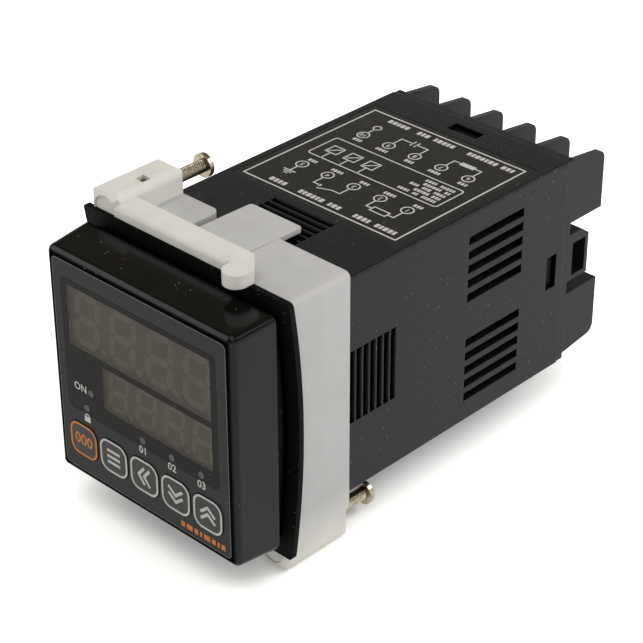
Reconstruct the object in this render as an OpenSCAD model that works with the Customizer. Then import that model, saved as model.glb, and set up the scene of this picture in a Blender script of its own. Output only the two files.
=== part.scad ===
// Panel counter with its clamping bracket, for a square cut-out in a control panel.
// X runs to the right seen from the front, Y into the panel and Z up.
// The origin is the centre of the bezel face that bears on the panel, so Y = 0 is the panel's front.

/* [Bezel] */
// How far the bezel stands past the case on each side
bezel_lip = 1.6; // [1.3:0.1:4]
// How far the bezel stands out in front of the panel
bezel_depth = 9.6; // [9:0.2:13]
// Draft on each side of the bezel
bezel_draft = 0.6; // [0.2:0.1:0.8]
// Rounding of the bezel's front edges and corners
bezel_r = 1.4; // [0.8:0.1:1.8]
// Width of the rim round the front plate
rim_w = 1.6; // [1.4:0.1:2.2]
// Thickness of the bezel wall behind the front plate
front_wall = 1.4; // [1:0.1:1.8]

/* [Front plate] */
// Thickness of the front plate
overlay_t = 0.8; // [0.5:0.1:1.2]
// Rounding of the front plate's corners
overlay_r = 1; // [0.5:0.1:2]
// Gap round pieces that are let into one another
seat_gap = 0.12; // [0.06:0.02:0.2]

/* [Displays] */
// Distance of both read-outs from the front plate's right edge
window_inset_right = 3.9; // [3.2:0.1:5.4]
// Distance of the upper read-out from the front plate's left edge
window_inset_left = 3.3; // [2.8:0.1:5]
// Distance of the upper read-out from the front plate's top edge
window_inset_top = 4.8; // [3.4:0.1:6]
// Height of the lower read-out above the front plate's lower edge
front_foot = 16.2; // [16:0.1:18]
// How much narrower the lower read-out is than the upper one
lower_step = 8.4; // [7:0.1:12]
// Height of the lower read-out
lower_h = 9; // [7:0.2:10]
// Bar between the two read-outs
window_gap = 1.2; // [1:0.1:1.6]
// Rim of a display module round its read-out
module_rim = 0.45; // [0.2:0.05:0.48]
// Margin of the smoked lens round the read-outs
lens_margin = 1.4; // [1:0.1:1.8]
// Diameter of an indicator LED
led_d = 1.4; // [1:0.1:1.5]
// Distance from the lower read-out down to the row of indicators
led_drop = 1.65; // [1.5:0.05:2.4]
// Spacing of the three indicators below the read-outs
led_pitch = 7.45; // [5:0.05:7.8]
// Distance of the last of them from the read-outs' right edge
led_inset = 3; // [1:0.1:5]
// Distance of the lock indicator from the lower read-out's left edge
lock_inset = 4.8; // [3:0.1:6]
// Distance of the power indicator from the lower read-out's left edge
power_inset = 3.4; // [2:0.1:6]
// Height of the power indicator above the other indicators
power_rise = 3.7; // [2.4:0.1:6]

/* [Keys] */
// Distance of the key row from the front plate's sides
key_margin = 1.87; // [1:0.01:4]
// Gap between two keys
key_space = 0.84; // [0.6:0.02:2]
// Height of a key
key_h = 7; // [5.5:0.1:7.4]
// Corner rounding of a key
key_r = 2.2; // [0.8:0.1:2.4]
// Height of the key row's centre above the front plate's lower edge
key_rise = 6.9; // [5.6:0.1:7.2]
// How far a key stands out of the front plate
key_proud = 0.15; // [0.1:0.05:0.4]
// Travel of a key
key_travel = 0.3; // [0.2:0.05:0.5]
// Clearance round a key
key_gap = 0.15; // [0.1:0.01:0.2]

/* [Case] */
// Width and height of the case
case_w = 44.8; // [44:0.1:45]
// Length of the case behind the panel
case_len = 79.4; // [78:0.2:100]
// Wall of the case
case_wall = 1.6; // [1.4:0.1:2]
// Rounding of the case's long edges
case_r = 0.5; // [0.4:0.1:1.4]
// Length of the case that fits into the bezel
spigot_len = 3; // [2:0.2:4]
// Fit between case and bezel
case_fit = 0.1; // [0.05:0.01:0.15]

/* [Ratchet] */
// Spacing of the ratchet teeth
tooth_pitch = 1.78; // [1.4:0.02:2]
// Depth of the ratchet grooves
tooth_depth = 0.9; // [0.5:0.1:1]
// Flat land between two grooves
tooth_land = 0.4; // [0.2:0.05:0.6]
// Width of the ratchet
tooth_w = 15; // [13.4:0.2:20]
// Number of grooves
tooth_n = 12; // [9:1:14]
// Distance of the ratchet's rear end from the panel
ratchet_end = 31.35; // [29:0.05:32]

/* [Vents] */
// Distance of the vents from the panel
vent_start = 50.8; // [46:0.2:54]
// Length of a vent slot
vent_len = 15.6; // [10:0.2:18]
// Height of a vent slot
slot_h = 1.75; // [1:0.05:2.2]
// Spacing of the vent slots
slot_pitch = 3; // [2.6:0.05:3.2]
// Number of slots in a group
slot_n = 5; // [3:1:5]
// Distance of the groups from the middle of the side
vent_inner = 4; // [3:0.1:5]

/* [Latches] */
// Distance of the latch windows from the rear of the case
latch_inset = 2.2; // [1.6:0.1:3]
// Length of a latch window
latch_len = 2.9; // [2:0.1:4]
// Width of a latch window
latch_w = 7.2; // [5:0.1:10]
// Depth of the latch hooks below the case's surface
hook_depth = 1; // [0.6:0.1:1.2]

/* [Label] */
// Distance of the label from the case's long edges
label_margin = 1.8; // [1:0.1:5]
// Distance of the label from the ratchet
label_front_gap = 1.55; // [0.5:0.05:4]
// Distance of the label from the latch window
label_rear_gap = 2; // [0.5:0.1:6]
// Thickness of the label
label_t = 0.12; // [0.08:0.02:0.2]

/* [Gasket] */
// How far the gasket stands past the case at the sides
gasket_band_x = 3.2; // [2:0.1:5]
// How far the gasket stands past the case at the top and bottom
gasket_band_z = 3.8; // [2.4:0.1:4.2]
// Thickness of the gasket
gasket_t = 1.1; // [0.6:0.1:1.6]
// How far the gasket's middle bows away from the panel
gasket_bow = 2.2; // [1:0.1:3]
// Distance of the gasket's upper and lower edges from the panel, to its rear face
gasket_back = 2.4; // [2:0.1:2.6]
// Rounding of the gasket's corners
gasket_r = 0.8; // [0.4:0.1:3]
// Clearance of the gasket round the case
gasket_gap = 0.25; // [0.15:0.05:0.4]

/* [Bracket] */
// Clearance of the bracket round the case
bracket_gap = 0.2; // [0.15:0.05:0.3]
// Side wall of the bracket
side_wall = 1.2; // [1:0.1:1.8]
// Upper and lower wall of the bracket
top_wall = 2.2; // [1.8:0.1:2.6]
// Distance of the bracket's rear edge from the panel
bracket_rear = 17.9; // [17:0.1:18.6]
// Clearance between the bracket's bearing edge and the gasket
bearing_gap = 0.25; // [0.15:0.05:0.4]
// Rounding of the bracket's long edges
ring_r = 1.1; // [0.8:0.1:2]

/* [Bracket bosses] */
// Width of a screw boss
boss_w = 7.2; // [6.4:0.1:8]
// Height of a screw boss above the bracket's wall
boss_h = 5.6; // [5:0.1:6.4]
// Rounding of a screw boss's upper edges
boss_r = 1.8; // [0.8:0.1:2.4]
// Rounding of a screw boss's upright edges
boss_edge = 1.4; // [0.4:0.1:1.6]
// Wall that closes a screw hole at the boss's front
boss_floor = 1; // [0.8:0.1:1]
// Diameter of the shallow recess in that wall
recess_d = 5.3; // [4:0.1:5.6]
// Depth of that recess
recess_depth = 0.4; // [0.2:0.05:0.5]
// Height of the screw above the bracket's wall
screw_rise = 1.85; // [1.6:0.05:2.8]
// Side of the sight window in a boss
sight_w = 2; // [1.4:0.1:2.4]
// Distance of the sight window from the screw's middle
sight_shift = 1.3; // [0.4:0.1:1.4]

/* [Bracket arms] */
// Clearance of an arm over the gasket's edge
arm_gap = 0.2; // [0.15:0.05:0.5]
// Thickness of an arm
arm_t = 2.6; // [2.2:0.1:3]
// Distance of an arm and its boss from the panel
arm_front = 1.6; // [1.4:0.1:2.4]
// Depth of an arm along the case
arm_depth = 4.5; // [4:0.1:6]
// Radius of an arm's foot
foot_r = 2.4; // [1.8:0.05:2.6]
// Distance of the foot from the centre line
foot_x = 14.3; // [11:0.1:15]
// Distance of the foot's middle from the panel
foot_y = 0.35; // [0:0.05:0.6]
// Slant cut at the end of an arm
arm_chamfer = 3.85; // [2:0.05:4]
// Rounding of an arm's front edge
arm_r = 1.7; // [0.4:0.1:2]
// Length over which that rounding runs out before the foot
arm_run = 1.7; // [1.4:0.1:5]
// Fillet between an arm and its foot
arm_fillet = 0.7; // [0.4:0.1:1]

/* [Bracket tongues] */
// Width of a ratchet tongue
tongue_w = 12.8; // [11:0.1:13.4]
// Thickness of a ratchet tongue
tongue_t = 1; // [0.8:0.05:1.2]
// Rounding of a tongue's free corners
tongue_r = 0.7; // [0.4:0.1:2]
// How far a tongue's free end dips below the bracket's wall
tongue_dip = 0.4; // [0.1:0.05:0.5]
// Distance of a tongue's free end from the panel
tongue_rear = 24.2; // [23:0.1:25]
// Distance of a tongue's root from the panel
tongue_root = 9; // [8:0.1:12]
// Slit on the boss side of a tongue
slit_wide = 1.5; // [0.8:0.1:2]
// Rounding of the plate's corner beside that slit
plate_r = 1.6; // [0.5:0.1:3]
// Slit on the other side of a tongue
slit_narrow = 0.3; // [0.2:0.05:0.6]
// Width of the tongue's teeth
pawl_w = 8; // [5:0.5:10]
// Clearance of the tongue's teeth over the ratchet
pawl_gap = 0.12; // [0.08:0.02:0.2]

/* [Bracket screws] */
// Diameter of a bracket screw
screw_d = 2.6; // [2:0.1:3]
// Length of a bracket screw under its head
screw_len = 16.5; // [16:0.5:17]
// Diameter of a screw head
head_d = 4.7; // [4:0.1:5.4]
// Height of a screw head
head_h = 1.8; // [1.6:0.1:2.6]
// Length of screw that stands out of a boss
screw_out = 7.3; // [6.2:0.1:8]
// Clearance of the screws in their holes
screw_gap = 0.1; // [0.05:0.01:0.2]

/* [Terminal block] */
// Thickness of the terminal block's flange
flange_t = 1.8; // [1.4:0.1:2.4]
// How far the barriers stand out behind the case
barrier_len = 12.2; // [10.4:0.1:14]
// Distance of the end barriers from the case's sides
barrier_edge = 0.75; // [0.3:0.05:2]
// Thickness of a barrier
barrier_t = 1.3; // [0.9:0.1:1.6]
// Terminals in a row
row_n = 5; // [3:1:5]
// Distance of the barriers' outer ends from the edge of the case
barrier_inset = 0.8; // [0.6:0.1:2]
// Distance from the middle to the floor of the wire bays
floor_z = 8.8; // [8.4:0.1:9]
// Thickness of the floor of the wire bays
floor_t = 0.9; // [0.7:0.1:1.4]
// Rounding of the barriers' outer corners
barrier_r = 2; // [1:0.1:3]
// Slope of the barriers' outer edges down to the rear, in degrees
barrier_slope = 7.5; // [2:0.5:9]
// Length of the block's collar inside the case
collar_len = 7.4; // [6.6:0.1:8]
// Wall of the collar
collar_wall = 1.4; // [1:0.1:1.6]
// Clearance of the collar in the case
collar_gap = 0.2; // [0.1:0.05:0.3]

/* [Side wire guides] */
// Height of a side wire guide
guide_h = 10.4; // [8:0.1:11]
// How far a side wire guide stands out behind the case
guide_len = 8.8; // [7.6:0.1:9.4]
// Width of a side wire guide
guide_w = 4; // [3:0.1:4.4]
// Wall of a side wire guide
guide_wall = 1; // [0.8:0.1:1.4]
// Wall between a side wire guide's opening and the flange
guide_root = 2.1; // [1.2:0.1:2.6]
// Slant cut at a side wire guide's upper outer corner
guide_cut = 2.2; // [1:0.1:3]

/* [Terminals] */
// Diameter of a terminal screw's head
term_head_d = 5.8; // [5:0.1:6]
// Height of a terminal screw's head
term_head_h = 2.1; // [1.6:0.1:2.6]
// Diameter of a terminal screw
term_d = 3.4; // [3:0.1:3.6]
// Length of a terminal screw under its head
term_len = 6.4; // [5.6:0.1:8]
// Gap between a terminal plate and the barriers
plate_gap = 0.35; // [0.1:0.05:0.6]
// Length of a terminal plate
plate_len = 9.6; // [8:0.1:10]
// Thickness of a terminal plate
plate_t = 0.8; // [0.6:0.1:1.2]
// Gap between a side terminal's plate and its wire guide
side_gap = 1.25; // [0.4:0.05:3]

/* [Boards] */
// Thickness of the circuit boards
board_t = 1.6; // [1:0.1:2]
// Distance of the display board's front from the panel
board_front = 2.2; // [1.8:0.1:2.6]
// Clearance of the boards in the case
board_gap = 0.3; // [0.2:0.05:0.5]
// Distance of the side boards from the case's side walls
board_inset = 5; // [2:0.1:6]
// Distance of the side boards from the terminal block's collar
board_rear_gap = 2.3; // [1:0.1:6]
// Height of the board rails in the case
rail_h = 1.2; // [0.8:0.1:1.6]
// Thickness of a board rail
rail_t = 1; // [0.8:0.1:1.6]
// Distance of the rails from the boards' front ends
rail_front = 10; // [4:0.5:20]
// Distance of the rails from the boards' rear ends
rail_rear = 6; // [2:0.5:12]

/* [Switches] */
// Side of a switch body
switch_w = 6; // [5:0.1:6.4]
// Height of a switch body on its board
switch_h = 3.2; // [2.6:0.1:3.4]
// Diameter of a switch plunger
plunger_d = 3.4; // [2.4:0.1:4]
// How far a plunger sits inside its switch
plunger_in = 0.5; // [0.3:0.1:0.8]

/* [Board parts] */
// Height of the transformer on its board
transformer_h = 15; // [12:0.5:16]
// Length of the transformer
transformer_len = 20; // [16:0.5:22]
// Width of the transformer
transformer_w = 18; // [14:0.5:20]
// Height of the relay on its board
relay_h = 11; // [9:0.5:12]
// Length of the relay
relay_len = 19; // [15:0.5:20]
// Width of the relay
relay_w = 15; // [10:0.5:16]
// Distance of the relay from the main board's rear end
relay_gap = 4.7; // [2:0.1:8]
// Distance of the transformer from the panel
transformer_start = 20; // [16:0.5:24]
// Thickness of the transformer's core at its sides
core_step = 2; // [1:0.1:4]
// Thickness of the transformer's core at its ends
core_end = 3; // [2:0.1:5]
// Height of the transformer's winding on its board
winding_h = 9; // [6:0.5:11]
// Side of the large chip
chip_w = 10; // [6:0.5:12]
// Side of the small chip
chip_small = 7; // [4:0.5:10]
// Thickness of the chips
chip_h = 1.6; // [1:0.1:2]
// Distance of the first chip's middle from the panel
chip_start = 16; // [12:0.5:20]
// Spacing of the chips
chip_step = 14; // [12:0.5:18]
// Thickness of a board connector
header_t = 2.5; // [2:0.1:4]
// Length of a board connector
header_len = 8.5; // [6:0.5:10]
// Width of a board connector
header_w = 20; // [10:0.5:30]
// Distance of the capacitors' middle from the panel
cap_start = 52; // [47:0.5:60]
// Gap between two capacitors
cap_gap = 1; // [0.5:0.1:2]
// Diameter of a capacitor
cap_d = 10; // [8:0.5:11]
// Height of a capacitor on its board
cap_h = 12; // [9:0.5:13]

/* [Hidden] */
$fn = 64;
eps = 0.05;

// Half sizes and levels that several pieces share
case_half = case_w / 2;
bezel_w = case_w + 2 * bezel_lip;
bore_half = case_half - case_wall;
front_y = -bezel_depth;
plate_back_y = front_y + overlay_t;
wall_back_y = plate_back_y + front_wall;
board_y = -board_front;
board_x = bore_half - board_inset - board_t;
board_start = board_y + board_t + board_gap;
overlay_w = bezel_w - 2 * bezel_draft - 2 * rim_w;
overlay_half = overlay_w / 2;

// Levels of the front's features
window_right = overlay_half - window_inset_right;
window_left = window_inset_left - overlay_half;
window_top = overlay_half - window_inset_top;
window_foot = front_foot - overlay_half;
upper_w = window_right - window_left;
lower_w = upper_w - lower_step;
lower_top = window_foot + lower_h;
upper_h = window_top - lower_top - window_gap;
upper_z = window_top - upper_h / 2;
lower_z = lower_top - lower_h / 2;
upper_x = window_right - upper_w / 2;
lower_x = window_right - lower_w / 2;
lower_left = window_right - lower_w;
led_z = window_foot - led_drop;
led_places = concat(
    [[lower_left - power_inset, led_z + power_rise], [lower_left - lock_inset, led_z]],
    [for (i = [0 : 2]) [window_right - led_inset - i * led_pitch, led_z]]
);
lens_left = window_left - lens_margin;
lens_right = window_right + lens_margin;
lens_top = window_top + lens_margin;
lens_bottom = led_z - led_d / 2 - lens_margin / 2;
lens_r = 1.2;
key_n = 5;
key_pitch = (overlay_w - 2 * key_margin + key_space) / key_n;
key_w = key_pitch - key_space;
key_z = key_rise - overlay_half;
key_lip = 0.7;
key_lip_t = 0.5;
lip_y = wall_back_y + eps;
plunger_y = lip_y + key_lip_t;
switch_y = board_y - switch_h;

// Curvature of the bowed gasket, which the bracket's bearing edge follows
gasket_w = case_w + 2 * gasket_band_x;
gasket_h = case_w + 2 * gasket_band_z;
bow_r = (gasket_h * gasket_h / 4 + gasket_bow * gasket_bow) / (2 * gasket_bow);
bow_y = gasket_back + gasket_bow - bow_r;

// Outside of the bracket's ring
ring_in = case_half + bracket_gap;
ring_x = ring_in + side_wall;
ring_z = ring_in + top_wall;
boss_x = -(ring_x - boss_w / 2);
screw_z = ring_z + screw_rise;
screw_head_y = bracket_rear + screw_out;
arm_z = max(ring_z, gasket_h / 2) + arm_gap;
arm_rear = arm_front + arm_depth;
arm_root = boss_x + recess_d / 2 + eps;
arm_end = foot_x + foot_r;

// Levels of the terminal block
flange_y = case_len + flange_t;
barrier_y = case_len + barrier_len;
barrier_top = case_half - barrier_inset;
barrier_n = row_n + 1;
fin_y = barrier_y - barrier_r;
fin_z = barrier_top - (fin_y - flange_y) * tan(barrier_slope) - barrier_r / cos(barrier_slope);
row_w = case_w - 2 * barrier_edge - barrier_t;
barrier_pitch = row_w / row_n;
collar_half = bore_half - collar_gap;
board_end = case_len - collar_len - board_rear_gap;
latch_y = case_len - latch_inset - latch_len;
label_w = case_w - 2 * label_margin;
label_start = ratchet_end + label_front_gap;
label_len = latch_y - label_rear_gap - label_start;
term_y = flange_y + plate_t;
plate_w = barrier_pitch - barrier_t - 2 * plate_gap;
side_x = row_w / 2 + barrier_t / 2 - guide_w - side_gap - plate_w / 2;
row_z = (floor_z + barrier_top) / 2;
row_places = [for (s = [-1, 1]) for (i = [0 : row_n - 1]) [(i - (row_n - 1) / 2) * barrier_pitch, s * row_z]];
side_places = [for (s = [-1, 1]) [s * side_x, 0]];
term_places = concat(row_places, side_places);

// Flat rectangle with rounded corners, centred
module rounded(w, h, r) {
    square([w - 2 * r, h], center = true);
    square([w, h - 2 * r], center = true);
    for (x = [-1, 1]) for (z = [-1, 1]) translate([x * (w / 2 - r), z * (h / 2 - r)]) circle(r);
}

// Extrusion of an X-Z outline from one depth to another
module along_y(y0, y1) {
    translate([0, y1, 0]) rotate([90, 0, 0]) linear_extrude(y1 - y0) children();
}

// Extrusion of a Y-Z outline from one side position to another
module along_x(x0, x1) {
    translate([x0, 0, 0]) rotate([90, 0, 90]) linear_extrude(x1 - x0) children();
}

// Box given by its two corners
module block(low, high) {
    translate(low) cube(high - low);
}

// Round bar along Y
module rod_y(x, z, d, y0, y1) {
    translate([x, y1, z]) rotate([90, 0, 0]) cylinder(d = d, h = y1 - y0);
}

// Round bar along X
module rod_x(y, z, d, x0, x1) {
    translate([x0, y, z]) rotate([0, 90, 0]) cylinder(d = d, h = x1 - x0);
}

// The children and their copy turned half round the Y axis
module half_turn() {
    children();
    rotate([0, 180, 0]) children();
}

// The children on all four sides of the case
module four_sides() {
    for (a = [0 : 90 : 270]) rotate([0, a, 0]) children();
}

// Cross recess for a screwdriver, cut from a head's outer face
module cross_recess(x, z, y, d, depth) {
    for (a = [0, 90]) translate([x, y - depth, z]) rotate([0, a, 0])
        block([-d / 2, 0, -d / 8], [d / 2, depth + eps, d / 8]);
}

// Outline of a display module, with room round it
module display_outline(x, z, w, h, room) {
    translate([x, z]) square([w + 2 * (module_rim + room), h + 2 * (module_rim + room)], center = true);
}

// Outline of one key, with room round it
module key_outline(i, room) {
    translate([(i - (key_n - 1) / 2) * key_pitch, key_z])
        rounded(key_w + 2 * room, key_h + 2 * room, key_r + room);
}

// Outline of the lens, with room round it
module lens_outline(room) {
    translate([(lens_left + lens_right) / 2, (lens_top + lens_bottom) / 2])
        rounded(lens_right - lens_left + 2 * room, lens_top - lens_bottom + 2 * room, lens_r + room);
}

// Drafted block with rounded edges that the bezel is cut from
module bezel_form() {
    half = bezel_w / 2 - bezel_r;
    hull() for (x = [-1, 1]) for (z = [-1, 1]) {
        translate([x * (half - bezel_draft), front_y + bezel_r, z * (half - bezel_draft)])
            sphere(bezel_r, $fn = 32);
        translate([x * half, 0, z * half]) rotate([90, 0, 0])
            cylinder(r = bezel_r, h = eps, $fn = 32);
    }
}

module bezel() {
    cavity_half = case_half + case_fit;
    color("#1d1d1f") difference() {
        bezel_form();
        along_y(wall_back_y, eps) square(2 * cavity_half, center = true);
        along_y(front_y - eps, plate_back_y)
            rounded(overlay_w + 2 * seat_gap, overlay_w + 2 * seat_gap, overlay_r + seat_gap);
        along_y(front_y, wall_back_y + eps) {
            display_outline(upper_x, upper_z, upper_w, upper_h, seat_gap);
            display_outline(lower_x, lower_z, lower_w, lower_h, seat_gap);
            display_outline(lower_x, lower_top + window_gap / 2, lower_w, window_gap, seat_gap);
            for (i = [0 : key_n - 1]) key_outline(i, key_gap);
        }
        for (p = led_places) rod_y(p[0], p[1], led_d + 2 * seat_gap, front_y, wall_back_y + eps);
    }
}

module front_overlay() {
    color("#3a3a3d") along_y(front_y, plate_back_y) difference() {
        rounded(overlay_w, overlay_w, overlay_r);
        lens_outline(seat_gap / 2);
        for (i = [0 : key_n - 1]) key_outline(i, key_gap);
    }
}

module display_lens() {
    color("#2f2d2c") along_y(front_y, plate_back_y) lens_outline(0);
}

// Key cap with the lip that keeps it behind the bezel wall
module key_cap(i) {
    color("#333336") {
        along_y(front_y - key_proud, lip_y + eps) key_outline(i, 0);
        along_y(lip_y, plunger_y) translate([(i - (key_n - 1) / 2) * key_pitch, key_z])
            square([key_w, key_h + 2 * key_lip], center = true);
    }
}

module plunger(i) {
    color("#202020")
        rod_y((i - (key_n - 1) / 2) * key_pitch, key_z, plunger_d, plunger_y, switch_y + plunger_in);
}

module key_switches() {
    color("#303030") for (i = [0 : key_n - 1]) difference() {
        along_y(switch_y, board_y) translate([(i - (key_n - 1) / 2) * key_pitch, key_z])
            rounded(switch_w, switch_w, 0.4);
        rod_y((i - (key_n - 1) / 2) * key_pitch, key_z, plunger_d + 2 * key_gap,
            switch_y - eps, switch_y + plunger_in + key_travel + 2 * key_gap);
    }
}

module upper_display() {
    color("#5f5a55") along_y(plate_back_y + seat_gap, board_y)
        display_outline(upper_x, upper_z, upper_w, upper_h, 0);
}

module lower_display() {
    color("#5f5a55") along_y(plate_back_y + seat_gap, board_y)
        display_outline(lower_x, lower_z, lower_w, lower_h, 0);
}

module indicator_leds() {
    color("#d8d2c4") for (p = led_places) rod_y(p[0], p[1], led_d, plate_back_y + seat_gap, board_y);
}

module display_board() {
    side = 2 * (bore_half - board_gap);
    color("#2f6b3a") along_y(board_y, board_y + board_t) rounded(side, side, 1);
}

// One upright circuit board beside the middle
module side_board(x0) {
    z = bore_half - board_gap;
    block([x0, board_start, -z], [x0 + board_t, board_end, z]);
}

module main_board() {
    color("#2f6b3a") side_board(-board_x - board_t);
}

module power_board() {
    color("#2f6b3a") side_board(board_x);
}

// Pin headers that join the side boards to the display board
module board_connectors() {
    y0 = board_y + board_t;
    color("#151515") for (s = [-1, 1])
        block([min(s * board_x, s * (board_x - header_t)), y0, -header_w / 2],
            [max(s * board_x, s * (board_x - header_t)), y0 + header_len, header_w / 2]);
}

// Flat chips on the main board's inner face
module control_chips() {
    sides = [chip_w, chip_small];
    color("#101010") for (i = [0, 1])
        translate([-board_x, chip_start + i * chip_step, 0]) rotate([0, 90, 0])
            linear_extrude(chip_h) square(sides[i], center = true);
}

module transformer() {
    y0 = transformer_start;
    y1 = y0 + transformer_len;
    half = transformer_w / 2;
    color("#3a3320") {
        block([board_x - transformer_h, y0, core_step - half], [board_x, y1, half - core_step]);
        block([board_x - winding_h, y0 + core_end, -half], [board_x, y1 - core_end, half]);
    }
}

module relay() {
    y1 = board_end - relay_gap;
    color("#20242a") block([-board_x, y1 - relay_len, -relay_w / 2], [relay_h - board_x, y1, relay_w / 2]);
}

module capacitors() {
    step = cap_d + cap_gap;
    color("#20283a") for (i = [-1, 0, 1]) rod_x(cap_start, i * step, cap_d, board_x - cap_h, board_x);
}

// V grooves of one ratchet, on the upper side of the case
module ratchet_cut() {
    groove = tooth_pitch - tooth_land;
    for (i = [0 : tooth_n - 1]) translate([0, ratchet_end - i * tooth_pitch, case_half])
        along_x(-tooth_w / 2, tooth_w / 2)
            polygon([[0, eps], [0, 0], [-groove * 0.55, -tooth_depth], [-groove, 0], [-groove, eps]]);
}

// Slots of the two vent groups, through both side walls
module vent_cut() {
    for (s = [-1, 1]) for (x = [-1, 1]) for (i = [0 : slot_n - 1])
        translate([x * (case_half - case_wall / 2), vent_start, s * (vent_inner + slot_h / 2 + i * slot_pitch)])
            translate([-case_wall, 0, -slot_h / 2]) cube([2 * case_wall, vent_len, slot_h]);
}

// Rails inside the case that hold the side boards
module board_rails() {
    for (s = [-1, 1]) for (b = [-1, 1]) for (f = [-1, 1])
        translate([b * (board_x + board_t / 2 + f * (board_t / 2 + rail_t / 2 + seat_gap)), 0, 0])
            block([-rail_t / 2, board_start + rail_front, min(s * bore_half, s * (bore_half - rail_h))],
                [rail_t / 2, board_end - rail_rear, max(s * bore_half, s * (bore_half - rail_h))]);
}

module case() {
    color("#2b2b2e") {
        difference() {
            along_y(-spigot_len, case_len) rounded(case_w, case_w, case_r);
            along_y(-spigot_len - eps, case_len + eps) square(2 * bore_half, center = true);
            four_sides() {
                ratchet_cut();
                block([-latch_w / 2, latch_y, bore_half - eps], [latch_w / 2, latch_y + latch_len, case_half + eps]);
            }
            vent_cut();
            block([-label_w / 2, label_start, case_half - label_t],
                [label_w / 2, label_start + label_len, case_half + eps]);
        }
        board_rails();
    }
}

module rating_label() {
    color("#1b1b1b") block([-label_w / 2 + seat_gap, label_start + seat_gap, case_half - label_t],
        [label_w / 2 - seat_gap, label_start + label_len - seat_gap, case_half]);
}

// Bowed sheet with a square hole that slips over the case
module gasket() {
    hole = case_w + 2 * gasket_gap;
    color("#101010") intersection() {
        along_y(-gasket_h, gasket_h) difference() {
            rounded(gasket_w, gasket_h, gasket_r);
            square(hole, center = true);
        }
        difference() {
            rod_x(bow_y, 0, 2 * bow_r, -gasket_w, gasket_w, $fn = 256);
            rod_x(bow_y, 0, 2 * (bow_r - gasket_t), -gasket_w - eps, gasket_w + eps, $fn = 256);
        }
    }
}

// Spring arm that ends in a rounded foot, seen from above
module arm_outline() {
    polygon([
        [arm_root, arm_front], [arm_root, arm_rear], [arm_end - arm_chamfer, arm_rear],
        [arm_end, arm_rear - arm_chamfer], [arm_end, foot_y], [foot_x - foot_r, foot_y],
        [foot_x - foot_r, arm_front]
    ]);
    translate([foot_x, foot_y]) circle(foot_r);
    translate([foot_x - foot_r - arm_fillet, arm_front - arm_fillet]) difference() {
        square(arm_fillet + eps);
        circle(arm_fillet);
    }
}

// Rectangle standing on the horizontal axis, with its two upper corners rounded
module round_top(w, h, r) {
    translate([-w / 2, 0]) square([w, h - r]);
    translate([r - w / 2, 0]) square([w - 2 * r, h]);
    for (x = [-1, 1]) translate([x * (w / 2 - r), h - r]) circle(r);
}

// Profile that the rounding of an arm's front edge follows, drawn along X over a length
module along_edge(length) {
    translate([0, arm_front, arm_z + arm_t]) along_x(0, length) translate([arm_r - eps, eps - arm_r]) children();
}

// What the rounding takes off an arm's front edge
module edge_waste(length) {
    along_edge(length) difference() {
        translate([-2 * arm_r, 0]) square(2 * arm_r);
        circle(arm_r);
    }
}

// What is left of an arm where the rounding turns out of its front
module edge_kept(length) {
    along_edge(length) {
        circle(arm_r);
        translate([-arm_r, -2 * arm_t]) square([2 * arm_depth, 2 * arm_t]);
        translate([0, -2 * arm_t]) square([2 * arm_depth, 2 * arm_t + arm_r]);
    }
}

// Spring arm with its front edge rounded, running out before the foot
module spring_arm() {
    x0 = arm_root - eps;
    x1 = foot_x - foot_r - arm_run;
    turn = atan(arm_r / arm_run);
    difference() {
        translate([0, 0, arm_z]) linear_extrude(arm_t) arm_outline();
        difference() {
            translate([x0, 0, 0]) edge_waste(x1 + arm_run - x0);
            translate([x1, arm_front, 0]) rotate([0, 0, -turn]) translate([-arm_r, -arm_front, 0])
                edge_kept(2 * arm_run + arm_r);
        }
    }
}

// Boss with its screw hole, sight window and the recess in its front
module screw_boss() {
    base = ring_z - ring_r;
    length = bracket_rear - arm_front;
    middle = arm_front + length / 2;
    difference() {
        intersection() {
            along_y(arm_front, bracket_rear) translate([boss_x, base])
                round_top(boss_w, boss_h + ring_r, boss_r);
            along_x(boss_x - boss_w, boss_x + boss_w) translate([middle, base])
                round_top(length, boss_h + ring_r, boss_r);
            translate([boss_x, middle, base]) linear_extrude(2 * boss_h) rounded(boss_w, length, boss_edge);
        }
        rod_y(boss_x, screw_z, screw_d + 2 * screw_gap, arm_front + boss_floor, bracket_rear + eps);
        rod_y(boss_x, screw_z, recess_d, arm_front - eps, arm_front + recess_depth);
        translate([boss_x + sight_shift, middle, screw_z])
            block([-sight_w / 2, -sight_w / 2, 0], [sight_w / 2, sight_w / 2, boss_h]);
    }
}

// Tongue seen from above, with its free corners rounded
module tongue_outline() {
    root = tongue_root - 1;
    square_w = tongue_w - 2 * tongue_r;
    translate([-tongue_w / 2, root]) square([tongue_w, tongue_rear - tongue_r - root]);
    translate([-square_w / 2, root]) square([square_w, tongue_rear - root]);
    for (x = [-1, 1]) translate([x * square_w / 2, tongue_rear - tongue_r]) circle(tongue_r);
}

// Tongue that dips towards the ratchet, with two teeth above the grooves
module ratchet_tongue() {
    root = tongue_root - 1;
    dip_z = ring_z - tongue_dip;
    foot_level = dip_z - tongue_t / 2;
    groove = tooth_pitch - tooth_land;
    first = floor((ratchet_end - tongue_rear) / tooth_pitch) + 1;
    intersection() {
        translate([0, 0, ring_in]) linear_extrude(2 * top_wall) tongue_outline();
        along_x(-tongue_w, tongue_w) polygon([
            [root, ring_z], [tongue_rear, dip_z], [tongue_rear, dip_z - tongue_t], [root, ring_z - tongue_t]
        ]);
    }
    for (i = [first, first + 1]) translate([0, ratchet_end - i * tooth_pitch, 0])
        along_x(-pawl_w / 2, pawl_w / 2) polygon([
            [-groove * 0.1, foot_level], [-groove * 0.55, case_half + pawl_gap], [-groove * 0.9, foot_level]
        ]);
}

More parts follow.
